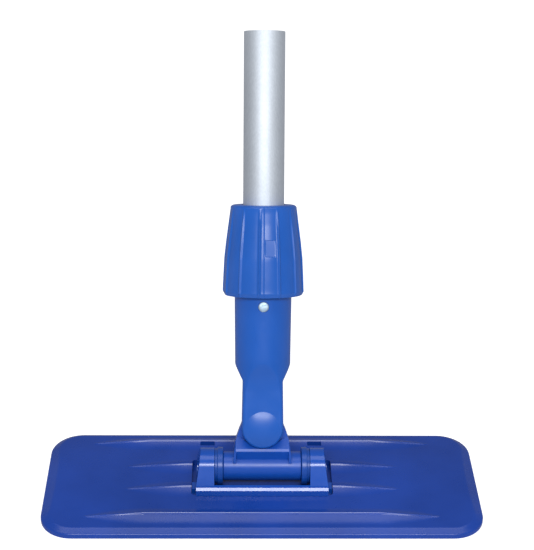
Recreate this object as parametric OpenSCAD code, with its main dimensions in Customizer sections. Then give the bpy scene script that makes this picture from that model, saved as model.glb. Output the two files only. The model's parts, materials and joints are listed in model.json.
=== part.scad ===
// Swivel scrub-pad holder with a stub of its pole.
// Millimetres. The pad face lies on z = 0 with its centre at the origin, +X runs along the plate,
// +Y points away from the user and +Z up. The pole leans back, towards +Y.

/* [Plate] */
// Length of the plate
plate_l = 235; // [215:1:260]
// Depth of the plate, front to rear
plate_w = 90; // [86:1:110]
// Radius of the plate's corners in plan
plate_corner_r = 17.3; // [10:0.1:20]
// Thickness of the plate at its front and rear edges
plate_edge_t = 4.5; // [4:0.1:6]
// Extra thickness along the middle of the crowned top
plate_crown = 1.8; // [1:0.1:3]
// Height of the bevel round the top edge
plate_bevel = 2; // [1:0.1:2.5]

/* [Ribs] */
// Half the width of a rib at its foot
rib_half_w = 6.2; // [4:0.1:7]
// Height of the ribs above the plate's top
rib_h = 2.9; // [1:0.1:4]
// Distance of the two inner ribs from the plate's centre line
inner_rib_y = 10; // [9:0.1:12]
// Distance of the two outer ribs from the plate's centre line
outer_rib_y = 32.9; // [30:0.1:34]
// Length of an inner rib
inner_rib_l = 148.4; // [120:1:180]
// Length of an outer rib
outer_rib_l = 188.6; // [160:1:195]

/* [Hinge base] */
// Height of the hinge axis above the pad face
axis_z = 14.1; // [14:0.1:15]
// Radius of the ears about the hinge axis
ear_r = 9.8; // [9:0.1:10]
// Distance of an ear's inner face from the centre
ear_in_x = 25.8; // [25.8:0.1:26.5]
// Thickness of an ear at its top
ear_t = 7.5; // [7:0.1:9]
// How much an ear widens outwards down to its foot
ear_draft = 2.2; // [1:0.1:2.4]
// Height of the raised front lip
lip_z = 10.3; // [8:0.1:10.5]
// Distance of the front lip's face from the hinge axis
lip_y = 16.4; // [16:0.1:18]
// Radius of the hinge pin and of the pivot pin
pin_r = 3; // [2.5:0.1:3.5]

/* [Yoke] */
// Radius of the yoke's barrel
barrel_r = 7.75; // [7:0.05:8]
// Half the length of the barrel
barrel_half = 21.1; // [20:0.1:21.1]
// Radius of the flange on each hinge bush
flange_r = 10.2; // [9:0.1:10.3]
// Distance of the pivot pin above the hinge axis
pivot_s = 22.8; // [22.5:0.1:24]
// Thickness of the yoke's tongue
tongue_t = 8; // [7:0.1:8]

/* [Pole socket] */
// Angle that the pole leans back from upright at rest
lean = 24; // [0:1:30]
// Radius of the fork's rounded end and half the width of the neck
neck_r = 11.1; // [10.5:0.1:11.3]
// Half the depth of the neck, front to rear
neck_half_d = 12; // [11:0.1:12.5]
// Height of the domed boss above the front cheek
dome_h = 2.1; // [1:0.1:2.5]
// Radius of the round body where it leaves the neck
body_low_r = 14.85; // [14:0.05:15]
// Radius of the round body under the collar
body_top_r = 15.4; // [15:0.05:15.6]

/* [Pole and collar] */
// Radius of the pole
pole_r = 11; // [10.5:0.1:11.5]
// Wall thickness of the pole
pole_wall = 1.1; // [0.8:0.1:1.5]
// Distance of the pole's cut end above the hinge axis
pole_end_s = 233.8; // [200:1:300]
// Distance of the collar's lower rim above the hinge axis
collar_s = 93.6; // [93.6:0.1:96]
// Length of the collar
collar_l = 48.4; // [48:0.1:50]
// Radius of the collar's lower rim
collar_low_r = 21.9; // [21.5:0.1:23]
// Radius of the collar's top rim
collar_top_r = 17.4; // [17:0.1:18]
// Number of flutes round the collar
flutes = 12; // [8:1:16]
// Radius of the snap button
button_r = 2.75; // [2:0.05:3]

/* [Hidden] */
$fn = 72;

plate_blue = [0.10, 0.19, 0.53];
socket_blue = [0.12, 0.35, 0.74];
steel = [0.72, 0.73, 0.75];

eps = 0.05;
fit = 0.02;      // press fit between a pin and the wall that holds it
running = 0.05;  // radial clearance of a turning fit
slack = 0.3;     // gap between faces that pass each other

// Plate
plate_top = plate_edge_t + plate_crown;
crown_r = (pow(plate_w / 2, 2) + pow(plate_crown, 2)) / (2 * plate_crown);
rib_taper = 32;
rib_crest_w = 0.6;
slot_l = 8;
slot_w = 2.4;
slot_x = 30;
slot_y = 31;

// Pocket in the plate for the hinge base
pocket_floor = 2.4;
pocket_x = 38.1;
pocket_front = lip_y - 1;
pocket_rear = 16.4;
pocket_r = 1.5;

// Hook strips
strip_t = 1.6;
strip_gap = 0.1;
long_strip = [200, 20];
short_strip = [54, 34];
long_strip_y = 31;
short_strip_x = 74;
strip_r = 2;

// Hinge base
ear_out_x = ear_in_x + ear_t;
ear_foot_x = ear_out_x + ear_draft;
ear_half_d = 13.9;
bar_in_y = 12.9;
rear_bar_z = 6;
tab_y = -7;
tab_l = 6;
cap_r = 4.5;
cap_t = 1.9;
pin_half = 32;

// Screws that hold the hinge base from below
screw_x = 30.6;
screw_y = 9;
screw_r = 1.75;
screw_pilot_r = 1.5;
screw_hole_r = 2.1;
screw_head_r = 3.7;
screw_head_h = 1.9;
screw_sink = 0.2;
screw_tip_z = 11.5;

// Hinge bushes
sleeve_r = 4.7;
sleeve_in_x = 9;
flange_x = 25.3;
flange_step = 1.1;
flange_step_r = 9.4;

// Yoke: points of the flared outline, as [half width, distance above the hinge axis]
flare = [[15.7, 0], [15.6, 6.3], [14.4, 15], [12.5, 20.5], [11.85, 22], [10.78, 25]];
shelf_s = 9.6;
shelf_d = 10;
slope_top_s = 17;
undercut_s = 4.9;
undercut_d = 6;
gusset_t = 1.3;
gusset_s = 3;
gusset_d = 8.3;
seat_r = neck_r + 0.4;
tilt_max = 60;

// Pole socket
slot_half_d = tongue_t / 2 + slack;
crotch_r = 15;
neck_top_s = 46.1;
side_chamfer_s = 55.3;
front_chamfer_s = 57;
neck_edge = 2;
body_end_s = 101;
thread_r = 14.2;
thread_end_s = 125;
core_r = 9.5;
core_s = 45;
stop_s = 72;
pole_bore_r = pole_r + 0.08;
dome_base_r = 9.2;
pivot_cap_r = 4.6;
pivot_cap_t = 1.7;
pivot_pin_front = 10;
button_s = 88.5;
button_hole_r = button_r + 0.08;
button_top = 16.1;
button_base = 9.3;

// Pole end plug and button spring
plug_flange = 1.2;
plug_l = 7;
pole_low_s = stop_s + plug_flange;
pole_bore = pole_r - pole_wall;
leaf_t = 0.5;
leaf_w = 6;
leaf_out = 9.25;
leaf_bend_s = 92;
leaf_end_s = 102;

// Collar, collet and thrust washer
collar_end_s = collar_s + collar_l;
collar_knee_s = 113.6;
collar_knee_r = 21.1;
collar_lip = 2.2;
skirt_r = 17.5;
skirt_l = 10.4;
collar_bore_r = 14.5;
cone_s = 126;
cone_end_s = 136.6;
washer_seat_r = 13.3;
washer_t = 1.5;
collar_hole_r = 11.4;
flute_r = 16;
flute_depth = 0.75;
flute_tilt = 5.5;
collet_slit = 1.6;

// The frame in which Z runs up the pole from the hinge axis and -Y is the front
module along_pole() {
    translate([0, 0, axis_z]) rotate([-lean, 0, 0]) children();
}

module mirror_copy(v) {
    children();
    mirror(v) children();
}

// A cylinder from front to rear, through the pole's axis at a given height
module front_to_rear(s, r, d_from, d_to) {
    translate([0, -d_from, s]) rotate([90, 0, 0]) cylinder(r = r, h = d_to - d_from);
}

// A cylinder along X, centred on the hinge axis
module across(r, x_from, x_to) {
    translate([x_from, 0, 0]) rotate([0, 90, 0]) cylinder(r = r, h = x_to - x_from);
}

// A rectangle with true round corners
module round_rect(l, w, r) {
    square([l - 2 * r, w], center = true);
    square([l, w - 2 * r], center = true);
    for (x = [-1, 1], y = [-1, 1]) {
        translate([x * (l / 2 - r), y * (w / 2 - r)]) circle(r = r);
    }
}

// ---- Base plate ----

// The plate's blank: upright sides and a bevel that rises to meet the crown
module plate_blank() {
    side_h = plate_edge_t - plate_bevel;
    bevel_h = plate_top - side_h;
    linear_extrude(side_h) round_rect(plate_l, plate_w, plate_corner_r);
    corner_x = plate_l / 2 - plate_corner_r;
    corner_y = plate_w / 2 - plate_corner_r;
    half_l = plate_l / 2;
    half_w = plate_w / 2;
    translate([0, 0, side_h]) {
        for (x = [-1, 1], y = [-1, 1]) {
            translate([x * corner_x, y * corner_y, 0])
                cylinder(r1 = plate_corner_r, r2 = plate_corner_r - bevel_h, h = bevel_h);
        }
        rotate([90, 0, 0]) linear_extrude(2 * corner_y, center = true)
            polygon([[-half_l, 0], [half_l, 0], [half_l - bevel_h, bevel_h], [bevel_h - half_l, bevel_h]]);
        rotate([90, 0, 90]) linear_extrude(2 * corner_x, center = true)
            polygon([[-half_w, 0], [half_w, 0], [half_w - bevel_h, bevel_h], [bevel_h - half_w, bevel_h]]);
    }
}

// Height of the crowned top at a distance from the centre line
function crown_z(y) = plate_top - crown_r + sqrt(pow(crown_r, 2) - pow(y, 2));

// A raised rib: an ogive outline that rises to a narrow crest
module rib(l, y) {
    arc_r = (pow(rib_taper, 2) + pow(rib_half_w, 2)) / (2 * rib_half_w);
    foot_z = crown_z(abs(y) + rib_half_w) - 0.4;
    crest_half = l / 2 - rib_taper;
    translate([0, y, 0]) hull() {
        translate([0, 0, foot_z]) linear_extrude(eps) {
            square([2 * crest_half, 2 * rib_half_w], center = true);
            for (x = [-1, 1]) {
                translate([x * crest_half, 0]) intersection() {
                    translate([0, rib_half_w - arc_r]) circle(r = arc_r, $fn = 360);
                    translate([0, arc_r - rib_half_w]) circle(r = arc_r, $fn = 360);
                }
            }
        }
        translate([0, 0, crown_z(y) + rib_h - eps])
            linear_extrude(eps) square([2 * crest_half, rib_crest_w], center = true);
    }
}

module base_plate() {
    color(plate_blue) difference() {
        union() {
            intersection() {
                plate_blank();
                translate([-plate_l, 0, plate_top - crown_r])
                    rotate([0, 90, 0]) cylinder(r = crown_r, h = 2 * plate_l, $fn = 1440);
            }
            for (side = [-1, 1]) {
                rib(inner_rib_l, side * inner_rib_y);
                rib(outer_rib_l, side * outer_rib_y);
            }
        }
        // pocket for the hinge base
        translate([0, (pocket_rear - pocket_front) / 2, pocket_floor]) linear_extrude(20)
            round_rect(2 * pocket_x, pocket_front + pocket_rear, pocket_r);
        // slots behind the ears
        for (side = [-1, 1]) {
            translate([side * slot_x, slot_y, 13]) cube([slot_l, slot_w, 20], center = true);
        }
        // recesses for the hook strips
        for (side = [-1, 1]) {
            translate([0, side * long_strip_y, -eps]) linear_extrude(strip_t + eps)
                round_rect(long_strip.x + 2 * strip_gap, long_strip.y + 2 * strip_gap, strip_r);
            translate([side * short_strip_x, 0, -eps]) linear_extrude(strip_t + eps)
                round_rect(short_strip.x + 2 * strip_gap, short_strip.y + 2 * strip_gap, strip_r);
        }
        // countersunk screw holes
        for (x = [-1, 1], y = [-1, 1]) {
            translate([x * screw_x, y * screw_y, -1]) cylinder(r = screw_hole_r, h = pocket_floor + 2);
            translate([x * screw_x, y * screw_y, screw_sink])
                cylinder(r1 = screw_head_r + fit, r2 = screw_hole_r, h = screw_head_h);
            translate([x * screw_x, y * screw_y, -1]) cylinder(r = screw_head_r + fit, h = 1 + screw_sink);
        }
    }
}

module hook_strip(size) {
    color([0.13, 0.13, 0.14]) linear_extrude(strip_t) round_rect(size.x, size.y, strip_r);
}

module front_hook_strip() {
    translate([0, -long_strip_y, 0]) hook_strip(long_strip);
}

module rear_hook_strip() {
    translate([0, long_strip_y, 0]) hook_strip(long_strip);
}

module left_hook_strip() {
    translate([-short_strip_x, 0, 0]) hook_strip(short_strip);
}

module right_hook_strip() {
    translate([short_strip_x, 0, 0]) hook_strip(short_strip);
}

// ---- Hinge base ----

// Side outline of an ear: a round top with straight flanks down to the foot
module ear_outline() {
    foot = [ear_half_d, lip_z - axis_z];
    flank_r = ear_r - eps;
    touch = acos(flank_r / norm(foot)) + atan2(foot.y, foot.x);
    circle(r = ear_r);
    polygon([
        [-foot.x, pocket_floor - axis_z], [foot.x, pocket_floor - axis_z], foot,
        [flank_r * cos(touch), flank_r * sin(touch)], [-flank_r * cos(touch), flank_r * sin(touch)],
        [-foot.x, foot.y]
    ]);
}

// One ear, its outer face widening down to the foot
module ear() {
    intersection() {
        translate([ear_in_x, 0, axis_z]) rotate([90, 0, 90])
            linear_extrude(ear_foot_x - ear_in_x) ear_outline();
        rotate([90, 0, 0]) linear_extrude(60, center = true) polygon([
            [ear_in_x - 1, 0], [ear_foot_x, 0], [ear_foot_x, lip_z],
            [ear_out_x, axis_z + ear_r], [ear_out_x, 40], [ear_in_x - 1, 40]
        ]);
    }
}

module hinge_base() {
    low_front = pocket_front - 0.15;
    low_rear = pocket_rear - 0.15;
    color(socket_blue) difference() {
        union() {
            mirror_copy([1, 0, 0]) ear();
            // front bar, and the lip that stands on the plate
            translate([-ear_foot_x, -low_front, pocket_floor])
                cube([2 * ear_foot_x, low_front - bar_in_y, lip_z - pocket_floor]);
            translate([-ear_foot_x, -lip_y, plate_top])
                cube([2 * ear_foot_x, lip_y - bar_in_y, lip_z - plate_top]);
            // rear bar
            translate([-ear_foot_x, bar_in_y, pocket_floor])
                cube([2 * ear_foot_x, low_rear - bar_in_y, rear_bar_z - pocket_floor]);
            // side tabs that centre the frame in the pocket
            for (side = [-1, 1]) {
                translate([side * (ear_foot_x + 1), tab_y, (pocket_floor + rear_bar_z) / 2])
                    cube([2 * (pocket_x - ear_foot_x - 1) - 0.3, tab_l, rear_bar_z - pocket_floor],
                        center = true);
            }
        }
        translate([0, 0, axis_z]) {
            across(pin_r + fit, -ear_foot_x - 1, ear_foot_x + 1);
            across(cap_r + fit, pin_half + 0.2, ear_foot_x + 1);
            across(cap_r + fit, -ear_foot_x - 1, -pin_half - 0.2);
        }
        for (x = [-1, 1], y = [-1, 1]) {
            translate([x * screw_x, y * screw_y, 0]) cylinder(r = screw_pilot_r, h = screw_tip_z + 0.5);
        }
    }
}

module hinge_base_screws() {
    color(steel) for (x = [-1, 1], y = [-1, 1]) {
        translate([x * screw_x, y * screw_y, screw_sink]) difference() {
            union() {
                cylinder(r1 = screw_head_r, r2 = screw_r, h = screw_head_h);
                cylinder(r = screw_r, h = screw_tip_z - screw_sink - 1);
                translate([0, 0, screw_tip_z - screw_sink - 1]) cylinder(r1 = screw_r, r2 = 0.6, h = 1);
            }
            // cross recess
            for (a = [0, 90]) {
                rotate([0, 0, a]) translate([0, 0, 0.4]) cube([3.6, 0.8, 1], center = true);
            }
        }
    }
}

module hinge_pin() {
    bevel = 0.4;
    color(steel) translate([0, 0, axis_z]) {
        across(pin_r, -pin_half + bevel, pin_half - bevel);
        mirror_copy([1, 0, 0]) translate([pin_half - bevel, 0, 0]) rotate([0, 90, 0])
            cylinder(r1 = pin_r, r2 = pin_r - bevel, h = bevel);
    }
}

module right_pin_cap() {
    color(socket_blue) translate([0, 0, axis_z]) {
        across(cap_r, pin_half + 0.2, pin_half + cap_t - 0.4);
        translate([pin_half + cap_t - 0.4, 0, 0]) rotate([0, 90, 0])
            cylinder(r1 = cap_r, r2 = cap_r - 0.4, h = 0.4);
    }
}

module left_pin_cap() {
    mirror([1, 0, 0]) right_pin_cap();
}

// ---- Yoke ----

module flared_outline() {
    polygon([for (p = flare) p, [0, 25], for (i = [len(flare) - 1:-1:0]) [-flare[i].x, flare[i].y]]);
}

// The flared block under the fork: shelf, slope above it and undercut below it
module yoke_block() {
    intersection() {
        rotate([90, 0, 0]) linear_extrude(30, center = true) flared_outline();
        rotate([90, 0, 90]) linear_extrude(40, center = true) polygon([
            [-shelf_d, shelf_s], [-tongue_t / 2, slope_top_s], [tongue_t / 2, slope_top_s],
            [shelf_d, shelf_s], [undercut_d, undercut_s], [undercut_d, 0], [-undercut_d, 0],
            [-undercut_d, undercut_s]
        ]);
    }
}

// The thin gussets at the block's sides, which run down over the barrel
module yoke_gussets() {
    intersection() {
        difference() {
            rotate([90, 0, 0]) linear_extrude(30, center = true) flared_outline();
            scale_x = 1 - gusset_t / flare[1].x;
            cube([2 * flare[1].x * scale_x, 40, 60], center = true);
        }
        rotate([90, 0, 90]) linear_extrude(40, center = true) polygon([
            [-shelf_d, shelf_s], [0, slope_top_s], [shelf_d, shelf_s], [gusset_d, gusset_s],
            [0, 0], [-gusset_d, gusset_s]
        ]);
    }
}

// Outline that a cheek covers as it tilts: its round end, and its straight edges at full tilt
module cheek_sweep() {
    circle(r = seat_r);
    for (tilt = [-tilt_max, tilt_max]) {
        rotate(tilt) translate([0.1 - seat_r, 0]) square([2 * seat_r - 0.2, 16]);
    }
}

module yoke() {
    color(socket_blue) along_pole() difference() {
        union() {
            across(barrel_r, -barrel_half, barrel_half);
            front_to_rear(pivot_s, neck_r - 0.1, -tongue_t / 2, tongue_t / 2);
            rotate([90, 0, 0]) linear_extrude(tongue_t, center = true) flared_outline();
            yoke_block();
            yoke_gussets();
        }
        // seats that the fork's cheeks swing in
        mirror_copy([0, 1, 0]) translate([0, -tongue_t / 2 - 0.05, pivot_s])
            rotate([90, 0, 0]) linear_extrude(16) cheek_sweep();
        front_to_rear(pivot_s, pin_r + running, -20, 20);
        across(sleeve_r + fit, -barrel_half - 1, barrel_half + 1);
    }
}

module right_hinge_bush() {
    color(socket_blue) along_pole() difference() {
        union() {
            across(sleeve_r, sleeve_in_x, barrel_half + 0.2);
            across(flange_r, barrel_half + 0.1, flange_x - flange_step);
            across(flange_step_r, flange_x - flange_step, flange_x);
        }
        across(pin_r + running, 0, flange_x + 1);
    }
}

module left_hinge_bush() {
    mirror([1, 0, 0]) right_hinge_bush();
}

// ---- Pole socket ----

// The fork's neck, with its long edges bevelled
module neck() {
    intersection() {
        rotate([90, 0, 0]) linear_extrude(2 * neck_half_d, center = true) {
            translate([0, pivot_s]) circle(r = neck_r);
            translate([-neck_r, pivot_s]) square([2 * neck_r, neck_top_s + 3 - pivot_s]);
        }
        linear_extrude(100) polygon([
            for (q = [[1, 1], [-1, 1], [-1, -1], [1, -1]])
                for (e = q.x * q.y > 0 ? [0, 1] : [1, 0])
                    [q.x * (neck_r - e * neck_edge), q.y * (neck_half_d - (1 - e) * neck_edge)]
        ]);
    }
}

// The round body with flat chamfers that lead down to the neck
module socket_body() {
    intersection() {
        union() {
            translate([0, 0, neck_top_s - 6]) cylinder(r = body_low_r, h = side_chamfer_s - neck_top_s + 6);
            translate([0, 0, side_chamfer_s])
                cylinder(r1 = body_low_r, r2 = body_top_r, h = body_end_s - side_chamfer_s);
        }
        rotate([90, 0, 0]) linear_extrude(60, center = true) polygon([
            [-neck_r, neck_top_s], [neck_r, neck_top_s], [body_top_r + 1, side_chamfer_s + 2.9],
            [body_top_r + 1, 120], [-body_top_r - 1, 120], [-body_top_r - 1, side_chamfer_s + 2.9]
        ]);
        rotate([90, 0, 90]) linear_extrude(60, center = true) polygon([
            [-neck_half_d, neck_top_s], [neck_half_d, neck_top_s], [body_top_r + 1, front_chamfer_s + 6],
            [body_top_r + 1, 120], [-body_top_r - 1, 120], [-body_top_r - 1, front_chamfer_s + 6]
        ]);
    }
}

// The low dome that closes the front cheek over the pivot pin
module dome() {
    dome_r = (pow(dome_base_r, 2) + pow(dome_h, 2)) / (2 * dome_h);
    intersection() {
        translate([0, -(neck_half_d + dome_h - dome_r), pivot_s]) sphere(r = dome_r, $fn = 144);
        front_to_rear(pivot_s, dome_base_r + 1, neck_half_d - 1, neck_half_d + dome_h + 1);
    }
}

module pole_socket() {
    color(socket_blue) along_pole() difference() {
        union() {
            neck();
            socket_body();
            dome();
            cylinder_s = body_end_s - 1;
            translate([0, 0, cylinder_s]) cylinder(r = thread_r, h = thread_end_s - cylinder_s);
        }
        // slot for the tongue
        front_to_rear(pivot_s, crotch_r, -slot_half_d, slot_half_d);
        translate([-20, -slot_half_d, pivot_s - 20]) cube([40, 2 * slot_half_d, 20]);
        // pivot pin, blind under the dome, and the counterbore for its cap
        front_to_rear(pivot_s, pin_r + fit, -20, pivot_pin_front + 0.3);
        front_to_rear(pivot_s, pivot_cap_r + fit, -20, pivot_cap_t - neck_half_d);
        // cored inside, bore for the pole and hole for the button
        translate([0, 0, core_s]) cylinder(r = core_r, h = stop_s - core_s + eps);
        translate([0, 0, stop_s]) cylinder(r = pole_bore_r, h = 80);
        front_to_rear(button_s, button_hole_r, 5, 20);
    }
}

module pivot_pin() {
    color(steel) along_pole() front_to_rear(pivot_s, pin_r, pivot_cap_t + 0.2 - neck_half_d, pivot_pin_front);
}

module pivot_cap() {
    bulge = 0.5;
    color(socket_blue) along_pole() {
        front_to_rear(pivot_s, pivot_cap_r, -neck_half_d, pivot_cap_t - neck_half_d);
        translate([0, neck_half_d, pivot_s]) rotate([-90, 0, 0])
            cylinder(r1 = pivot_cap_r, r2 = pivot_cap_r - 1, h = bulge);
    }
}

// ---- Pole ----

module pole_tube() {
    color([0.75, 0.77, 0.80]) along_pole() difference() {
        translate([0, 0, pole_low_s]) cylinder(r = pole_r, h = pole_end_s - pole_low_s);
        translate([0, 0, pole_low_s - 1]) cylinder(r = pole_bore, h = pole_end_s - pole_low_s + 2);
        front_to_rear(button_s, button_hole_r, 5, 20);
    }
}

module pole_end_plug() {
    color([0.16, 0.16, 0.17]) along_pole() difference() {
        union() {
            translate([0, 0, stop_s]) cylinder(r = pole_r - 0.1, h = plug_flange);
            translate([0, 0, stop_s]) cylinder(r = pole_bore - 0.05, h = plug_flange + plug_l);
        }
        translate([0, 0, stop_s + 2]) cylinder(r = pole_bore - 1.6, h = 20);
    }
}

// A leaf bent into a U, its front leg behind the button
module button_spring() {
    color(steel) along_pole() rotate([90, 0, 90]) linear_extrude(leaf_w, center = true) {
        difference() {
            translate([0, leaf_bend_s]) circle(r = leaf_out);
            translate([0, leaf_bend_s]) circle(r = leaf_out - leaf_t);
            translate([-20, leaf_bend_s]) square([40, 40]);
        }
        for (side = [-1, 1]) {
            translate([side * (leaf_out - leaf_t / 2) - leaf_t / 2, leaf_bend_s])
                square([leaf_t, leaf_end_s - leaf_bend_s]);
        }
    }
}

module snap_button() {
    dome_start = button_top - 1.2;
    dome_r = (pow(button_r, 2) + pow(button_top - dome_start, 2)) / (2 * (button_top - dome_start));
    color([0.90, 0.92, 0.94]) along_pole() {
        front_to_rear(button_s, button_r, button_base, dome_start);
        intersection() {
            translate([0, -(button_top - dome_r), button_s]) sphere(r = dome_r, $fn = 96);
            front_to_rear(button_s, button_r, dome_start - 0.2, button_top + 1);
        }
    }
}

// ---- Collar, collet and thrust washer ----

module clamp_collet() {
    low = thread_end_s + 0.2;
    color([0.82, 0.84, 0.86]) along_pole() difference() {
        union() {
            translate([0, 0, low]) cylinder(r = collar_bore_r - slack, h = cone_s - low);
            translate([0, 0, cone_s])
                cylinder(r1 = collar_bore_r - slack, r2 = washer_seat_r - slack, h = cone_end_s - cone_s - 0.3);
        }
        translate([0, 0, low - 1]) cylinder(r = pole_r + 0.03, h = 40);
        translate([-collet_slit / 2, 0, low - 1]) cube([collet_slit, 30, 40]);
    }
}

module thrust_washer() {
    low = cone_end_s + 0.1;
    color([0.90, 0.90, 0.88]) along_pole() difference() {
        translate([0, 0, low]) cylinder(r = washer_seat_r - 0.1, h = washer_t);
        translate([0, 0, low - 1]) cylinder(r = collar_hole_r, h = 10);
    }
}

// One flute, a long shallow scallop that follows the collar's taper
module flute() {
    mid_s = (collar_s + collar_end_s) / 2;
    mid_r = (collar_low_r + collar_top_r) / 2 + 0.6;
    translate([0, -mid_r - flute_r + flute_depth, mid_s]) rotate([-flute_tilt, 0, 0])
        cylinder(r = flute_r, h = 2 * collar_l, center = true);
}

module locking_collar() {
    seat_top = cone_end_s + washer_t + 0.3;
    bevel = 1.2;
    color(socket_blue) along_pole() difference() {
        rotate_extrude() polygon([
            [skirt_r, collar_s], [collar_low_r - collar_lip / 2, collar_s],
            [collar_low_r, collar_s + collar_lip], [collar_knee_r, collar_knee_s],
            [collar_top_r + 0.3, collar_end_s - bevel], [collar_top_r - bevel, collar_end_s],
            [collar_hole_r, collar_end_s], [collar_hole_r, seat_top], [washer_seat_r, seat_top],
            [washer_seat_r, cone_end_s], [collar_bore_r, cone_s],
            [collar_bore_r, collar_s + skirt_l], [skirt_r, collar_s + skirt_l]
        ]);
        for (i = [0:flutes - 1]) {
            rotate([0, 0, (i + 0.3) * 360 / flutes]) flute();
        }
    }
}

base_plate();
front_hook_strip();
rear_hook_strip();
left_hook_strip();
right_hook_strip();
hinge_base();
hinge_base_screws();
hinge_pin();
left_pin_cap();
right_pin_cap();
yoke();
left_hinge_bush();
right_hinge_bush();
pole_socket();
pivot_pin();
pivot_cap();
clamp_collet();
pole_tube();
pole_end_plug();
button_spring();
snap_button();
thrust_washer();
locking_collar();
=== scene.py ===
"""A swivel scrub pad holder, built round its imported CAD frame.

Lengths are millimetres until mesh() makes them metres.
"""

import json
import math

import bmesh
import bpy
import numpy as np
from mathutils import Matrix, Vector


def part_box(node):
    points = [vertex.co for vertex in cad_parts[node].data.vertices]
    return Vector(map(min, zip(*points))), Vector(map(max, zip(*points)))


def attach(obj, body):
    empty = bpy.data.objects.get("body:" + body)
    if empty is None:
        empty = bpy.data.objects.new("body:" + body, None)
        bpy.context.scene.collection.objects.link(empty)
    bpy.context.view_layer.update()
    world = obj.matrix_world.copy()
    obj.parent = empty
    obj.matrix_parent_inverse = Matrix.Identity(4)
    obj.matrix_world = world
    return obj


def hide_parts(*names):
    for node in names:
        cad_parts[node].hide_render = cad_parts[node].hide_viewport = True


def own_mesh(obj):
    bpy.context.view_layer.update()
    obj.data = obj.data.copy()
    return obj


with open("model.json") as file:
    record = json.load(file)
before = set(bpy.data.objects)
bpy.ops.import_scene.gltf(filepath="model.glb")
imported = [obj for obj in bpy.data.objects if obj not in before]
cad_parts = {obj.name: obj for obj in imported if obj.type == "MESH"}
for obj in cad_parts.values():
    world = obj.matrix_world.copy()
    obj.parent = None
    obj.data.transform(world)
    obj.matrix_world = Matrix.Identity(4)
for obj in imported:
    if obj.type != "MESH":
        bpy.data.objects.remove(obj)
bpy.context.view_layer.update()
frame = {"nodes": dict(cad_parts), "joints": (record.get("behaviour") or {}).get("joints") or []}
MM = 0.001

# ---------------------------------------------------------------- the frame's own measures
JOINTS = {j["name"]: j for j in frame["joints"]}
HINGE = Vector(JOINTS["yoke_pitch"]["pos_m"]) / MM
UP_POLE = Vector(JOINTS["collar_climb"]["axis"]).normalized()
LEAN = math.atan2(UP_POLE.y, UP_POLE.z)
PIVOT_S = (Vector(JOINTS["socket_tilt"]["pos_m"]) / MM - HINGE).length
POLE_FRAME = Matrix.Translation(HINGE) @ Matrix.Rotation(-LEAN, 4, "X")
AXIS_FRAME = Matrix.Translation(HINGE)
ALONG_X = Matrix.Rotation(math.pi / 2, 4, "Y")
TO_FRONT = Matrix.Rotation(math.pi / 2, 4, "X")


# ---------------------------------------------------------------- mesh tools
def mesh(name, verts, faces, place=None):
    """A new object from millimetre points, its normals outwards."""
    m = bpy.data.meshes.new(name)
    m.from_pydata([tuple(v) for v in verts], [], [tuple(f) for f in faces])
    m.transform((place or Matrix.Identity(4)))
    m.transform(Matrix.Scale(MM, 4))
    b = bmesh.new()
    b.from_mesh(m)
    bmesh.ops.recalc_face_normals(b, faces=b.faces)
    b.to_mesh(m)
    b.free()
    o = bpy.data.objects.new(name, m)
    bpy.context.scene.collection.objects.link(o)
    return o


def bake(o):
    """Applies the object's modifiers to its mesh."""
    graph = bpy.context.evaluated_depsgraph_get()
    new = bpy.data.meshes.new_from_object(o.evaluated_get(graph))
    o.modifiers.clear()
    old, o.data = o.data, new
    bpy.data.meshes.remove(old)
    return o


def boolean(o, other, operation):
    """Joins, cuts or intersects o with other, which is used up."""
    m = o.modifiers.new("b", "BOOLEAN")
    m.operation, m.object, m.solver = operation, other, "EXACT"
    bake(o)
    bpy.data.objects.remove(other)
    return o


def cut(o, *others):
    for x in others:
        boolean(o, x, "DIFFERENCE")
    return o


def add(o, *others):
    for x in others:
        boolean(o, x, "UNION")
    return o


def soften(o, width, segments=3, angle=32):
    """Rounds the edges that turn by more than angle."""
    b = bmesh.new()
    b.from_mesh(o.data)
    bmesh.ops.remove_doubles(b, verts=b.verts, dist=2e-6)
    bmesh.ops.dissolve_limit(b, angle_limit=math.radians(0.3), verts=b.verts, edges=b.edges)
    b.to_mesh(o.data)
    b.free()
    m = o.modifiers.new("r", "BEVEL")
    m.width, m.segments, m.limit_method = width * MM, segments, "ANGLE"
    m.angle_limit = math.radians(angle)
    m.use_clamp_overlap = True
    m.miter_outer = "MITER_ARC"
    m.harden_normals = False
    return bake(o)


def weld(o):
    """Removes the faces with no area that a held-back bevel leaves."""
    b = bmesh.new()
    b.from_mesh(o.data)
    bmesh.ops.remove_doubles(b, verts=b.verts, dist=2e-6)
    bmesh.ops.dissolve_degenerate(b, dist=1e-6, edges=b.edges)
    b.to_mesh(o.data)
    b.free()
    return o


def shade(o, angle=30):
    o.data.polygons.foreach_set("use_smooth", [True] * len(o.data.polygons))
    o.data.set_sharp_from_angle(angle=math.radians(angle))
    return o


def even(o):
    """Lets the large faces keep their own normals, so that only the rounded edges shade."""
    m = o.modifiers.new("n", "WEIGHTED_NORMAL")
    m.mode, m.weight, m.keep_sharp = "FACE_AREA", 100, True
    return bake(o)


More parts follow.
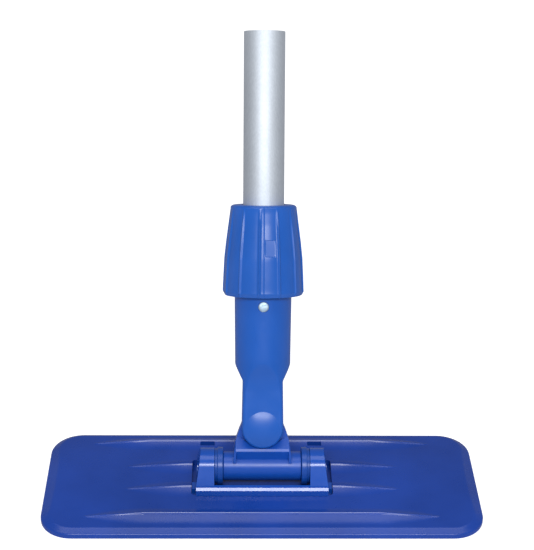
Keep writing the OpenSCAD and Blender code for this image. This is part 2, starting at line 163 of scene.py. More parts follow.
def fillet(points, radii, steps=6, closed=True):
    """The polyline with its corners rounded to the radii."""
    out, n = [], len(points)
    for i, (p, r) in enumerate(zip(points, radii)):
        p = np.array(p, float)
        if r <= 0 or (not closed and i in (0, n - 1)):
            out.append(tuple(p))
            continue
        a = np.array(points[i - 1], float) - p
        c = np.array(points[(i + 1) % n], float) - p
        la, lc = np.linalg.norm(a), np.linalg.norm(c)
        a, c = a / la, c / lc
        half = math.acos(max(-1, min(1, a @ c))) / 2
        t = min(r / math.tan(half), 0.49 * la, 0.49 * lc)
        r = t * math.tan(half)
        mid = (a + c) / np.linalg.norm(a + c)
        centre = p + mid * r / math.sin(half)
        s, e = p + a * t - centre, p + c * t - centre
        turn = math.atan2(s[0] * e[1] - s[1] * e[0], s @ e)
        for k in range(steps + 1):
            w = turn * k / steps
            out.append((centre[0] + s[0] * math.cos(w) - s[1] * math.sin(w),
                        centre[1] + s[0] * math.sin(w) + s[1] * math.cos(w)))
    return out


def lathe(name, profile, segments=96, place=None, radius=None):
    """Turns a closed (radius, height) loop about Z. radius(r, z, angle, index) may vary the radius."""
    verts, rings = [], []
    for i, (r, z) in enumerate(profile):
        if r < 1e-6:
            verts.append((0, 0, z))
            rings.append([len(verts) - 1] * segments)
            continue
        ring = []
        for k in range(segments):
            a = 2 * math.pi * k / segments
            q = radius(r, z, a, i) if radius else r
            verts.append((q * math.sin(a), -q * math.cos(a), z))
            ring.append(len(verts) - 1)
        rings.append(ring)
    faces = []
    count = len(rings)
    for i in range(count):
        a, b = rings[i], rings[(i + 1) % count]
        for k in range(segments):
            n = (k + 1) % segments
            f = [a[k], a[n], b[n], b[k]]
            f = [v for j, v in enumerate(f) if v not in f[:j]]
            if len(f) > 2:
                faces.append(f)
    return mesh(name, verts, faces, place)


def prism(name, outline, z0, z1, place=None, round_r=0.0, steps=4):
    """A closed outline drawn from z0 to z1, its rim rounded by round_r."""
    pts = np.array(outline, float)
    area = 0.5 * np.sum(pts[:, 0] * np.roll(pts[:, 1], -1) - np.roll(pts[:, 0], -1) * pts[:, 1])
    if area < 0:
        pts = pts[::-1]
    back, ahead = pts - np.roll(pts, 1, 0), np.roll(pts, -1, 0) - pts
    nb = np.stack([-back[:, 1], back[:, 0]], 1) / np.linalg.norm(back, axis=1)[:, None]
    na = np.stack([-ahead[:, 1], ahead[:, 0]], 1) / np.linalg.norm(ahead, axis=1)[:, None]
    inward = nb + na
    inward /= np.maximum((inward * nb).sum(1), 0.3)[:, None]
    if round_r > 0:
        levels = [(round_r * (1 - math.sin(a)), z0 + round_r * (1 - math.cos(a)))
                  for a in (math.pi / 2 * k / steps for k in range(steps + 1))]
        levels += [(d, z0 + z1 - z) for d, z in reversed(levels)]
    else:
        levels = [(0, z0), (0, z1)]
    verts, n = [], len(pts)
    for d, z in levels:
        verts += [(x, y, z) for x, y in pts + inward * d]
    faces = [list(range(n))[::-1], [len(verts) - n + i for i in range(n)]]
    for k in range(len(levels) - 1):
        for i in range(n):
            j = (i + 1) % n
            faces.append((k * n + i, k * n + j, k * n + n + j, k * n + n + i))
    return mesh(name, verts, faces, place)


def block(name, low, high, place=None):
    (a, b, c), (d, e, f) = low, high
    return prism(name, [(a, b), (d, b), (d, e), (a, e)], c, f, place)


def rod(name, r, z0, z1, place=None, segments=64):
    return prism(name, circle(r, segments), z0, z1, place)


def circle(r, n=64):
    return [(r * math.cos(2 * math.pi * k / n), r * math.sin(2 * math.pi * k / n)) for k in range(n)]


def front_rod(name, s, r, d0, d1, segments=64):
    """A rod from front to rear through the pole's axis; d counts towards the front."""
    return rod(name, r, d0, d1, POLE_FRAME @ Matrix.Translation((0, 0, s)) @ TO_FRONT, segments)


def rect(l, w, r, steps=6):
    x, y = l / 2, w / 2
    return fillet([(-x, -y), (x, -y), (x, y), (-x, y)], [r] * 4, steps)


# Outlines drawn as (x, s), for a prism whose thickness runs towards the front
FRONT_OUTLINE = POLE_FRAME @ TO_FRONT


# ---------------------------------------------------------------- base plate
low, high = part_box("base_plate")
HALF_L, HALF_W = high.x / MM, high.y / MM
CORNER_R = 17.3
SIDE_H = 2.5
CROWN_TOP, CROWN = 6.3, 1.8
CROWN_R = (HALF_W ** 2 + CROWN ** 2) / (2 * CROWN)
RIB_HALF_W, RIB_TAPER = 6.4, 32
RIB_EDGE_W, RIB_EDGE_DROP = 0.6, 0.24
RIBS = [(sy * y, l, h) for y, l, h in ((10, 148.4, 2.5), (32.9, 188.6, 2.9)) for sy in (-1, 1)]
FLOOR_Z = 2.4    # floor of the pocket that the hinge base stands in
SCREWS = [(x, y) for x in (-30.6, 30.6) for y in (-9, 9)]
LONG_L, LONG_W, LONG_Y = 200, 20, 31
SHORT_L, SHORT_W, SHORT_X = 54, 34, 74
HOOKS_TOP = 1.6


def crown_z(y):
    return CROWN_TOP - CROWN_R + np.sqrt(CROWN_R ** 2 - y ** 2)


def rib_rise(x, y):
    """Height of the ribs above the crown: an ogive plan, a rounded crest and a soft foot."""
    rise = np.zeros_like(x)
    arc_r = (RIB_TAPER ** 2 + RIB_HALF_W ** 2) / (2 * RIB_HALF_W)
    for y0, length, height in RIBS:
        past = np.clip(np.abs(x) - (length / 2 - RIB_TAPER), 0, RIB_TAPER)
        half = np.sqrt(arc_r ** 2 - past ** 2) - (arc_r - RIB_HALF_W)
        off = np.sqrt((y - y0) ** 2 + 0.22 ** 2) - 0.22
        t = np.clip(off / np.maximum(half, 1e-3), 0, 1)
        top = height * (1 - past / RIB_TAPER) ** 0.8
        edge = RIB_EDGE_DROP * np.clip(1 - off / RIB_EDGE_W, 0, 1)
        rise = np.maximum(rise, np.where(t < 1, top * ((1 - RIB_EDGE_DROP) * (1 - t) ** 1.55 + edge), 0))
    return rise


def smooth_min(a, b, k):
    h = np.clip(0.5 + 0.5 * (b - a) / k, 0, 1)
    return b * (1 - h) + a * h - k * h * (1 - h)


def lines(stops):
    """Grid lines through the stops [(position, step after it), ...]."""
    out = []
    for (a, step), (b, _) in zip(stops, stops[1:]):
        n = max(1, round((b - a) / step))
        out += [a + (b - a) * i / n for i in range(n)]
    return out + [stops[-1][0]]


def make_plate():
    cx, cy = HALF_L - CORNER_R, HALF_W - CORNER_R
    xs = np.array(lines([(-cx, 1.0), (-90, 1.2), (-68, 1.1), (-40, 2.0), (40, 1.1), (68, 1.2), (90, 1.0), (cx, 1)]))
    steps = [(-cy, 0.6), (-16.8, 0.55), (-11.1, 0.15), (-8.9, 0.55), (-3, 1.4)]
    steps += [(3, 0.55), (8.9, 0.15), (11.1, 0.55), (16.8, 0.6), (cy, 1)]
    ys = np.array(lines(steps))
    arc = [math.pi / 2 * k / 12 for k in range(13)]
    # (inset, height) of the wall's rings; None is the top, whose height follows the crown, ribs and bevel
    wall = [(1.0, 0.0), (0.45, 0.0), (0.18, 0.07), (0.05, 0.2), (0, 0.45), (0, 1.4), (0, 2.3)]
    wall += [(0.04, 2.5), (0.14, 2.69)]
    insets = lines([(0.3, 0.3), (1.6, 0.25), (4.2, 0.5), (11.0, 0.15), (13.2, 0.5), (CORNER_R, 1)])
    rings = wall + [(d, None) for d in insets[:-1]]

    def loop(d):
        pts, r = [], CORNER_R - d
        for x in xs[:-1]:
            pts.append((x, -HALF_W + d))
        pts += [(cx + r * math.sin(a), -cy - r * math.cos(a)) for a in arc[:-1]]
        for y in ys[:-1]:
            pts.append((HALF_L - d, y))
        pts += [(cx + r * math.cos(a), cy + r * math.sin(a)) for a in arc[:-1]]
        for x in xs[:0:-1]:
            pts.append((x, HALF_W - d))
        pts += [(-cx - r * math.sin(a), cy + r * math.cos(a)) for a in arc[:-1]]
        for y in ys[:0:-1]:
            pts.append((-HALF_L + d, y))
        pts += [(-cx - r * math.cos(a), -cy - r * math.sin(a)) for a in arc[:-1]]
        return pts

    def top(x, y, d):
        z = smooth_min(crown_z(y), SIDE_H + 0.2 + 0.6 * d, 0.35)
        return z + rib_rise(x, y)

    verts, n = [], None
    for d, z in rings:
        p = np.array(loop(d))
        n = len(p)
        zz = np.full(n, z) if z is not None else top(p[:, 0], p[:, 1], d)
        verts += list(map(tuple, np.column_stack([p, zz])))
    faces = [tuple(range(n))[::-1]]
    for k in range(len(rings) - 1):
        for i in range(n):
            j = (i + 1) % n
            faces.append((k * n + i, k * n + j, k * n + n + j, k * n + n + i))
    # the inner grid, whose rim closes the last ring
    base = len(verts)
    nx, ny = len(xs), len(ys)
    gx, gy = np.meshgrid(xs, ys, indexing="ij")
    gz = top(gx, gy, np.full_like(gx, CORNER_R))
    verts += list(map(tuple, np.column_stack([gx.ravel(), gy.ravel(), gz.ravel()])))

    def at(i, j):
        return base + i * ny + j
    for i in range(nx - 1):
        for j in range(ny - 1):
            faces.append((at(i, j), at(i + 1, j), at(i + 1, j + 1), at(i, j + 1)))
    inner = [at(i, 0) for i in range(nx - 1)] + [at(nx - 1, 0)] * 12 + [at(nx - 1, j) for j in range(ny - 1)]
    inner += [at(nx - 1, ny - 1)] * 12 + [at(i, ny - 1) for i in range(nx - 1, 0, -1)] + [at(0, ny - 1)] * 12
    inner += [at(0, j) for j in range(ny - 1, 0, -1)] + [at(0, 0)] * 12
    last = (len(rings) - 1) * n
    for i in range(n):
        j = (i + 1) % n
        f = [last + i, last + j, inner[j], inner[i]]
        if f[2] == f[3]:
            f.pop()
        faces.append(tuple(f))
    o = mesh("pad_plate", verts, faces)
    above = 30
    cut(o, prism("c", rect(76.2, 31.8, 1.5), FLOOR_Z, above, Matrix.Translation((0, 0.5, 0))))
    for side in (-1, 1):
        cut(o, prism("c", rect(8, 2.4, 0.4, 3), 3, above, Matrix.Translation((side * 30, 31, 0))))
        cut(o, prism("c", rect(LONG_L + 0.2, LONG_W + 0.2, 2), -1, HOOKS_TOP,
                     Matrix.Translation((0, side * LONG_Y, 0))))
        cut(o, prism("c", rect(SHORT_L + 0.2, SHORT_W + 0.2, 2), -1, HOOKS_TOP,
                     Matrix.Translation((side * SHORT_X, 0, 0))))
    sink = [(0, -1), (3.72, -1), (3.72, 0.2), (2.1, 2.1), (2.1, 4), (0, 4)]
    for x, y in SCREWS:
        cut(o, lathe("c", sink, 48, Matrix.Translation((x, y, 0))))
    return shade(o, 28)


# ---------------------------------------------------------------- hook strips
def make_hooks(name, length, width, centre):
    """A backing with a field of moulded hooks whose tips end in the pad face."""
    back = rect(length, width, 2)
    o = prism(name, back, 0.85, HOOKS_TOP, Matrix.Translation(centre), 0.12, 2)
    pitch, verts, faces = 1.7, [], []
    # a hook's side view, from its root up over the bend to its tip, as (forward, z, half thickness)
    spine = [(0, 0.95, 0.24), (0.02, 0.5, 0.19), (0.10, 0.22, 0.17), (0.32, 0.06, 0.15),
             (0.58, 0.16, 0.11), (0.66, 0.32, 0.06)]
    margin = 3.2
    nx, ny = int((length - margin) / pitch), int((width - margin) / pitch)
    for i in range(nx + 1):
        for j in range(ny + 1):
            x, y = (i - nx / 2) * pitch, (j - ny / 2) * pitch
            way = 1 if j % 2 else -1
            base = len(verts)
            for k, (f, z, h) in enumerate(spine):
                a, b = spine[max(k - 1, 0)], spine[min(k + 1, len(spine) - 1)]
                t = np.array([b[0] - a[0], b[1] - a[1]])
                t /= np.linalg.norm(t)
                px, pz = t[1] * h, -t[0] * h
                for sx, sy in ((-1, -1), (1, -1), (1, 1), (-1, 1)):
                    verts.append((centre[0] + x + way * (f - 0.25 + sx * px), centre[1] + y + sy * 0.17,
                                  max(z + sx * pz, 0.0)))
            faces.append((base, base + 1, base + 2, base + 3))
            top = base + 4 * (len(spine) - 1)
            faces.append((top + 3, top + 2, top + 1, top))
            for k in range(len(spine) - 1):
                ring = base + 4 * k
                for q in range(4):
                    r = (q + 1) % 4
                    faces.append((ring + q, ring + 4 + q, ring + 4 + r, ring + r))
    hooks = mesh("hooks", verts, faces)
    return shade(join(o, hooks), 40)


def join(o, *others):
    b = bmesh.new()
    b.from_mesh(o.data)
    for x in others:
        b.from_mesh(x.data)
        bpy.data.objects.remove(x)
    b.to_mesh(o.data)
    b.free()
    return o


# ---------------------------------------------------------------- hinge base
AXIS_Z = HINGE.z
EAR_R, EAR_IN, EAR_OUT, EAR_FOOT, EAR_HALF_D = 9.8, 25.8, 33.3, 35.5, 13.9
LIP_Z, LIP_TOP, LIP_Y, BAR_Y, REAR_Z = 10.3, 10.8, 16.4, 12.9, 6.0
PIN_R, CAP_R, PIN_HALF = 3.0, 4.5, 32.0
FAR = 50    # past the end of every cross hole


def ear_outline():
    """(down, back) of an ear about the hinge axis, in the frame that ALONG_X turns."""
    foot = (EAR_HALF_D, LIP_Z - AXIS_Z)
    touch = math.acos(EAR_R / math.hypot(*foot)) + math.atan2(foot[1], foot[0])
    n = 40
    turn = [touch + (math.pi - 2 * touch) * k / n for k in range(n + 1)]
    arc = [(EAR_R * math.cos(a), EAR_R * math.sin(a)) for a in turn]
    low_z = FLOOR_Z - AXIS_Z
    pts = [(foot[0], low_z), foot] + arc + [(-foot[0], foot[1]), (-foot[0], low_z)]
    return [(-z, y) for y, z in pts]


def make_hinge_base():
    low_f, low_r = -15.25, 16.25
    o = block("hinge_frame", (-EAR_FOOT, low_f, FLOOR_Z), (EAR_FOOT, -BAR_Y, LIP_Z - 0.01))
    add(o, block("u", (-EAR_FOOT, -LIP_Y, CROWN_TOP - 0.05), (EAR_FOOT, -BAR_Y - 0.05, LIP_TOP)))
    add(o, block("u", (-EAR_FOOT, BAR_Y, FLOOR_Z), (EAR_FOOT, low_r, REAR_Z)))
    for side in (-1, 1):
        place = AXIS_FRAME @ ALONG_X
        a, b = sorted((side * EAR_IN, side * (EAR_FOOT + 0.01)))
        ear = prism("u", ear_outline(), a, b, place)
        # the draft of the outer face
        slope = (EAR_FOOT - EAR_OUT) / (AXIS_Z + EAR_R - LIP_Z)
        outer, above = EAR_FOOT + 6, 60
        wedge = [(EAR_FOOT, LIP_Z), (outer, LIP_Z), (outer, above), (EAR_FOOT - slope * (above - LIP_Z), above)]
        wedge = [(side * x, z) for x, z in wedge]
        cut(ear, prism("c", wedge, -40, 40, TO_FRONT))
        add(o, ear)
        tab = (side * (EAR_FOOT - 1), side * 37.95)
        add(o, block("u", (min(tab), -10, FLOOR_Z), (max(tab), -4, REAR_Z)))
    # the lip's front edge, taken off at 50 degrees
    chamfer = [(-LIP_Y - 0.7, LIP_TOP - 2.13), (-LIP_Y + 1.76, LIP_TOP + 0.8), (-LIP_Y - 0.7, LIP_TOP + 6)]
    along = Matrix(((0, 0, 1, 0), (1, 0, 0, 0), (0, 1, 0, 0), (0, 0, 0, 1)))
    cut(o, prism("c", chamfer, -FAR, FAR, along))
    cross = AXIS_FRAME @ ALONG_X
    cut(o, rod("c", PIN_R + 0.02, -FAR, FAR, cross, 48))
    for a, b in ((PIN_HALF + 0.2, FAR), (-FAR, -PIN_HALF - 0.2)):
        cut(o, rod("c", CAP_R + 0.02, a, b, cross, 64))
    for x, y in SCREWS:
        cut(o, rod("c", 1.5, 0, 12, Matrix.Translation((x, y, 0)), 32))
    return even(shade(weld(soften(o, 0.42, 3)), 40))


def make_cap(name, side):
    profile = fillet([(0, 0.2), (CAP_R, 0.2), (CAP_R, 1.9), (0, 1.9)], [0, 0.1, 0.5, 0], 4)
    place = AXIS_FRAME @ Matrix.Rotation(side * math.pi / 2, 4, "Y") @ Matrix.Translation((0, 0, PIN_HALF))
    return shade(lathe(name, profile, 64, place))


# ---------------------------------------------------------------- yoke and bushes
BARREL_R, BARREL_HALF, TONGUE_T = 7.75, 21.1, 8.0
FLARE = [(15.7, 0), (15.6, 6.3), (14.4, 15), (12.5, 20.5), (11.85, 22), (10.78, 25)]
NECK_R, NECK_D, NECK_TOP = 11.1, 12.0, 46.1
DOME_R, DOME_RISE = 9.3, 1.45


def flared():
    """The tongue's front outline: the flare, then the round top about the pivot."""
    r, n = NECK_R - 0.1, 32
    a0 = math.atan2(FLARE[-1][1] - PIVOT_S, FLARE[-1][0])
    turn = [a0 + (math.pi - 2 * a0) * k / n for k in range(1, n)]
    arc = [(r * math.cos(a), PIVOT_S + r * math.sin(a)) for a in turn]
    return list(FLARE) + arc + [(-x, s) for x, s in reversed(FLARE)]


def side_prism(name, outline, x0, x1=None):
    """An outline drawn as (d, s), d towards the front, from x0 to x1, or from -x0 to x0."""
    place = POLE_FRAME @ Matrix(((0, 0, 1, 0), (-1, 0, 0, 0), (0, 1, 0, 0), (0, 0, 0, 1)))
    return prism(name, outline, *((-x0, x0) if x1 is None else (x0, x1)), place)


def make_yoke():
    rim = [(0, -BARREL_HALF), (BARREL_R, -BARREL_HALF), (BARREL_R, BARREL_HALF), (0, BARREL_HALF)]
    o = lathe("yoke_body", fillet(rim, [0, 0.5, 0.5, 0], 4), 112, POLE_FRAME @ ALONG_X)
    half, wall_x = TONGUE_T / 2, 14.3
    shelf = [(half, 17), (9.6, 11.2), (9.87, 9.9), (9.4, 9.1), (6, 4.9), (6, 0)]
    middle = [(half, 40)] + shelf + [(-d, s) for d, s in shelf[::-1]] + [(-half, 40)]
    sides = [(-10, 9.6), (-half, 14.04), (-half, 40), (half, 40), (half, 14.04), (10, 9.6), (8.3, 3), (half, 1.45),
             (half, 0.5), (-half, 0.5), (-half, 1.45), (-8.3, 3)]
    body = prism("u", flared(), -15, 15, FRONT_OUTLINE)
    depth = side_prism("i", middle, wall_x)
    for side in (-1, 1):
        a, b = sorted((side * (wall_x - 0.1), side * 20))
        add(depth, side_prism("u", [(d * 0.9999, s * 0.9999) for d, s in sides], a, b))
    boolean(body, depth, "INTERSECT")
    cut(body, front_rod("c", PIVOT_S, NECK_R + 0.4, half + 0.05, 20, 128))
    cut(body, front_rod("c", PIVOT_S, NECK_R + 0.4, -20, -half - 0.05, 128))
    # room for the neck's sides at both ends of the tilt
    for tilt in (-60, 60):
        swung = POLE_FRAME @ Matrix.Translation((0, 0, PIVOT_S)) @ Matrix.Rotation(math.radians(tilt), 4, "Y")
        cut(body, block("c", (-NECK_R - 0.4, half + 0.05, 0), (NECK_R + 0.4, 20, 16), swung))
        cut(body, block("c", (-NECK_R - 0.4, -20, 0), (NECK_R + 0.4, -half - 0.05, 16), swung))
    add(o, body)
    cut(o, front_rod("c", PIVOT_S, PIN_R + 0.05, -20, 20, 48))
    cut(o, rod("c", 4.72, -FAR, FAR, POLE_FRAME @ ALONG_X, 64))
    return even(shade(soften(o, 0.32, 3), 40))


def make_bush(name, side):
    points = [(3.05, 9), (4.7, 9), (4.7, 21.2), (10.2, 21.2), (10.2, 24.2), (9.4, 24.2), (9.4, 25.7), (3.05, 25.7)]
    profile = fillet(points, [0.1, 0.2, 0.1, 0.3, 0.35, 0.1, 0.3, 0.2], 4)
    return shade(lathe(name, profile, 112, POLE_FRAME @ Matrix.Rotation(side * math.pi / 2, 4, "Y")))


# ---------------------------------------------------------------- pole socket
BUTTON_S, BUTTON_HOLE_R = 88.5, 2.83


def rounded_limit(values, k):
    """The least of several radii, its corners rounded by about k."""
    v = np.array(values)
    least = v.min()
    return least - k * math.log(np.exp(-(v - least) / k).sum())


def soft_rise(x, k):
    """x where it is positive, nothing where it is negative, with a smooth turn about 2 k long."""
    return k * math.log1p(math.exp(-abs(x) / k)) + max(x, 0.0)


def body_radius(s, a):
    """Radius of the socket's outside at height s and angle a from the front."""
    round_r = 14.85 + 0.012 * soft_rise(s - 55.3, 1)
    x_lim = 10.7 + 0.53 * soft_rise(s - 48.1, 0.3)
    y_lim = 12.0 + 0.31 * soft_rise(s - 48.6, 1.8)
    power = 14 + 46 / (1 + math.exp((54 - s) / 1.5))
    flats = ((abs(math.sin(a)) / x_lim) ** power + (abs(math.cos(a)) / y_lim) ** power) ** (-1 / power)
    return rounded_limit([round_r, flats], 0.12)


def make_dome():
    """The crowned boss on the front cheek."""
    ball = (DOME_R ** 2 + DOME_RISE ** 2) / (2 * DOME_RISE)
    profile = [(0, NECK_D - 1), (DOME_R, NECK_D - 1)]
    for k in range(17):
        a = math.asin(DOME_R / ball) * (1 - k / 16)
        profile.append((ball * math.sin(a), NECK_D - 0.03 + DOME_RISE - ball * (1 - math.cos(a))))
    return lathe("u", profile, 96, POLE_FRAME @ Matrix.Translation((0, 0, PIVOT_S)) @ TO_FRONT)


def make_socket():
    heights = lines([(43, 0.8), (49, 1.0), (68, 4), (100.2, 1)])
    # a radius of 1, 2 or 3 is a mark that radius() turns into the body's own
    outside = [(10, 43)] + [(1, s) for s in heights] + [(2, 100.7), (3, 101)]
    outside += [(14.2, 101), (14.2, 124.4), (13.6, 125), (0, 125)]

    def radius(r, z, a, i):
        if i == 0:
            return body_radius(43, a) - 1.5
        if r == 1:
            return body_radius(z, a)
        if r == 2:
            return body_radius(101, a) - 0.15
        if r == 3:
            return body_radius(101, a) - 0.6
        return r
    o = lathe("socket_body", [(0, 43)] + outside, 192, POLE_FRAME, radius)
    turn = [math.pi * (1 + k / 36) for k in range(37)]
    arc = [(NECK_R * math.cos(a), PIVOT_S + NECK_R * math.sin(a)) for a in turn]
    rise = np.linspace(0, 1, 12)
    side = [(NECK_R - 0.4 * t, PIVOT_S + (NECK_TOP + 1 - PIVOT_S) * t) for t in rise[1:]]
    neck = arc + side + [(-x, s) for x, s in reversed(side)]
    stem = prism("u", neck, -NECK_D, NECK_D, FRONT_OUTLINE, 1.9, 7)
    sleeve = [(0, 5), (17, 5), (17, 28), (15.7, 34), (14.7, 46.2), (14.7, 49), (0, 49)]
    add(o, boolean(stem, lathe("i", sleeve, 192, POLE_FRAME), "INTERSECT"))
    add(o, make_dome())
    slot = TONGUE_T / 2 + 0.3
    reach, below = 15, PIVOT_S - 20
    turn = [math.pi * k / 48 for k in range(49)]
    crotch = [(reach * math.cos(a), PIVOT_S + reach * math.sin(a)) for a in turn]
    cut(o, prism("c", crotch + [(-reach, below), (reach, below)], -slot, slot, FRONT_OUTLINE))
    cut(o, front_rod("c", PIVOT_S, PIN_R + 0.02, -20, 10.3, 48))
    cut(o, front_rod("c", PIVOT_S, 4.62, -20, 1.7 - NECK_D, 64))
    bore = [(0, 45), (9.5, 45), (9.5, 72), (11.08, 72), (11.08, 160), (0, 160)]
    cut(o, lathe("c", bore, 96, POLE_FRAME))
    cut(o, front_rod("c", BUTTON_S, BUTTON_HOLE_R, 5, 20, 48))
    return even(shade(weld(soften(o, 0.3, 3, 38)), 40))


def make_pivot_cap():
    profile = fillet([(0, 0), (4.6, 0), (4.6, 1.7), (3.8, 2.15), (0, 2.2)], [0, 0.1, 0.35, 0.5, 0], 4)
    place = POLE_FRAME @ Matrix.Translation((0, NECK_D - 1.7, PIVOT_S)) @ Matrix.Rotation(-math.pi / 2, 4, "X")
    return shade(lathe("swivel_cap", profile, 64, place))


# ---------------------------------------------------------------- pole, button and spring
LEAF_T, LEAF_W, LEAF_OUT, LEAF_BEND, LEAF_END = 0.5, 6.0, 9.25, 92.0, 102.0


def make_pole():
    low, top, inner, outer = 73.2, 233.8, 9.9, 11
    profile = fillet([(inner, low), (outer, low), (outer, top), (inner, top)], [0.2, 0.2, 0.18, 0.15], 3)
    o = lathe("pole_shaft", profile, 128, POLE_FRAME)
    cut(o, front_rod("c", BUTTON_S, BUTTON_HOLE_R, 5, 20, 48))
    return shade(o, 40)


def make_button():
    top, r, rise = 16.1, 2.75, 0.7
    turn = [math.pi / 2 * k / 10 for k in range(11)]
    dome = [(r * math.sin(a), top - rise * (1 - math.cos(a))) for a in turn]
    profile = [(0, 9.3), (2.5, 9.3), (r, 9.55)] + dome[::-1]
    place = POLE_FRAME @ Matrix.Translation((0, 0, BUTTON_S)) @ TO_FRONT
    return shade(lathe("button", profile, 64, place), 50)


def make_spring():
    """The leaf bent into a U inside the pole, its front leg behind the button."""
    outer, inner = LEAF_OUT, LEAF_OUT - LEAF_T
    turn = [math.pi * (1 + k / 32) for k in range(33)]
    outline = [(-outer, LEAF_END)] + [(outer * math.cos(a), LEAF_BEND + outer * math.sin(a)) for a in turn]
    outline += [(outer, LEAF_END), (inner, LEAF_END)]
    outline += [(inner * math.cos(a), LEAF_BEND + inner * math.sin(a)) for a in reversed(turn)] + [(-inner, LEAF_END)]
    return shade(soften(side_prism("leaf_spring", outline, LEAF_W / 2), 0.08, 2, 50), 40)


# ---------------------------------------------------------------- collar
COLLAR_LOW, COLLAR_TOP, FLUTES = 93.6, 142.0, 12
SEAT_S = 136.6    # the step that the thrust washer runs under
FLUTE_PHASE, RIDGE_W = math.radians(8), 0.62
PAD_S, PAD_A = (115.2, 124.2), (math.radians(1.6), math.radians(17.6))


def collar_radius(s):
    """Radius of the ridges."""
    return float(np.interp(s, [COLLAR_LOW, 95.8, 103, 113.6, 122, 131, 139, COLLAR_TOP],
                           [21.6, 21.9, 21.62, 21.1, 20.2, 19.0, 17.95, 17.5]))


def flute_sink(s, a):
    """How far a panel lies under the ridges, which are narrow and rounded."""
    step = 2 * math.pi / FLUTES
    q = ((a - FLUTE_PHASE) / step + 0.5) % 1 - 0.5
    from_ridge = (0.5 - abs(q)) * step * collar_radius(s)
    depth = float(np.interp(s, [COLLAR_LOW, 97, 108, 120, 132, 138.5, 140.6],
                            [0.55, 0.8, 0.85, 0.85, 0.7, 0.35, 0.0]))
    return depth * (1 - math.exp(-(from_ridge / RIDGE_W) ** 2))


def pad_radius(s, a):
    """Radius of the flat recessed pad beside the seam, or None off it."""
    if not (PAD_S[0] < s < PAD_S[1] and PAD_A[0] < a < PAD_A[1]):
        return None
    middle, half = (PAD_A[0] + PAD_A[1]) / 2, (PAD_A[1] - PAD_A[0]) / 2
    return (collar_radius(s) - 0.85 - 0.12) * math.cos(half) / math.cos(a - middle)


def make_collar():
    seat_top = SEAT_S + 1.5 + 0.3
    heights = lines([(96.2, 1.3), (114.9, 0.3), (115.5, 1.2), (123.9, 0.3), (124.5, 1.1), (138.6, 0.5), (140.2, 1)])
    mouth, bore, thread = 17.5, 11.4, 14.5
    rim = [(21.9, 97.5), (21.9, 95.6), (20.8, COLLAR_LOW), (mouth, COLLAR_LOW)]
    rim = fillet(rim, [0, 1.2, 0.5, 0], 4, False)[1:-1]
    crown = [(17.72, 140.7), (17.42, 141.2), (17.0, 141.6), (16.4, 141.87), (15.6, COLLAR_TOP)]
    inner = [(15.0, COLLAR_TOP), (bore, COLLAR_TOP), (bore, seat_top), (13.3, seat_top), (13.3, SEAT_S),
             (thread, 126), (thread, 104), (mouth, 104), (mouth, COLLAR_LOW), (19, COLLAR_LOW)]
    inner = fillet(inner, [0, 0.35, 0.15, 0.1, 0.1, 0.5, 0.3, 0.3, 0.3, 0], 3, False)[:-1]
    outer = [(r, z) for r, z in rim[::-1]] + [(collar_radius(s), s) for s in heights] + crown
    profile = outer + inner
    count = len(inner)

    def radius(r, z, a, i):
        if i < count:
            return r
        pad = pad_radius(z, a)
        if pad:
            return pad
        sink = flute_sink(z, a)
        if z < 95.4:
            sink *= max(0.0, (r - 19.5) / 2.4)
        # the mould's parting line, a fine scratch down the front and the rear
        seam = min(abs(a), abs(a - math.pi), abs(a - 2 * math.pi)) * r
        line = 0.16 * math.exp(-(seam / 0.22) ** 2)
        return r - sink - line
    return shade(lathe("collar_shell", profile[::-1], 480, POLE_FRAME, radius), 32)


# ---------------------------------------------------------------- materials
def material(name, colour, rough, metallic=0.0, specular=0.5, coat=0.0, coat_rough=0.1):
    m = bpy.data.materials.new(name)
    m.use_nodes = True
    t = m.node_tree
    p = t.nodes["Principled BSDF"]
    p.inputs["Base Color"].default_value = (*colour, 1)
    p.inputs["Roughness"].default_value = rough
    p.inputs["Metallic"].default_value = metallic
    p.inputs["Specular IOR Level"].default_value = specular
    p.inputs["Coat Weight"].default_value = coat
    p.inputs["Coat Roughness"].default_value = coat_rough
    return m, t, p


def node(t, kind, **values):
    n = t.nodes.new(kind)
    for k, v in values.items():
        if k in n.inputs:
            n.inputs[k].default_value = v
        else:
            setattr(n, k, v)
    return n


def noise(t, coords, scale, detail=3.0, rough=0.5):
    n = node(t, "ShaderNodeTexNoise", Scale=scale, Detail=detail, Roughness=rough)
    t.links.new(coords, n.inputs["Vector"])
    return n.outputs["Fac"]


def ramp(t, value, stops):
    r = node(t, "ShaderNodeValToRGB")
    e = r.color_ramp.elements
    while len(e) < len(stops):
        e.new(0.5)
    for x, (pos, colour) in zip(e, stops):
        x.position, x.color = pos, (*colour, 1)
    t.links.new(value, r.inputs["Fac"])
    return r.outputs["Color"]


def spread(t, value, low, high):
    m = node(t, "ShaderNodeMapRange")
    m.inputs["From Min"].default_value, m.inputs["From Max"].default_value = 0.3, 0.7
    m.inputs["To Min"].default_value, m.inputs["To Max"].default_value = low, high
    t.links.new(value, m.inputs["Value"])
    return m.outputs["Result"]


def bump(t, p, *layers):
    """Bump from (height, strength, distance in metres) layers, one on another."""
    last = None
    for height, strength, distance in layers:
        b = node(t, "ShaderNodeBump", Strength=strength, Distance=distance)
        t.links.new(height, b.inputs["Height"])
        if last:
            t.links.new(last, b.inputs["Normal"])
        last = b.outputs["Normal"]
    t.links.new(last, p.inputs["Normal"])


def coordinates(t, rotation=(0, 0, 0), scale=(1, 1, 1)):
    c = node(t, "ShaderNodeTexCoord")
    m = node(t, "ShaderNodeMapping")
    m.inputs["Rotation"].default_value, m.inputs["Scale"].default_value = rotation, scale
    t.links.new(c.outputs["Object"], m.inputs["Vector"])
    return m.outputs["Vector"]


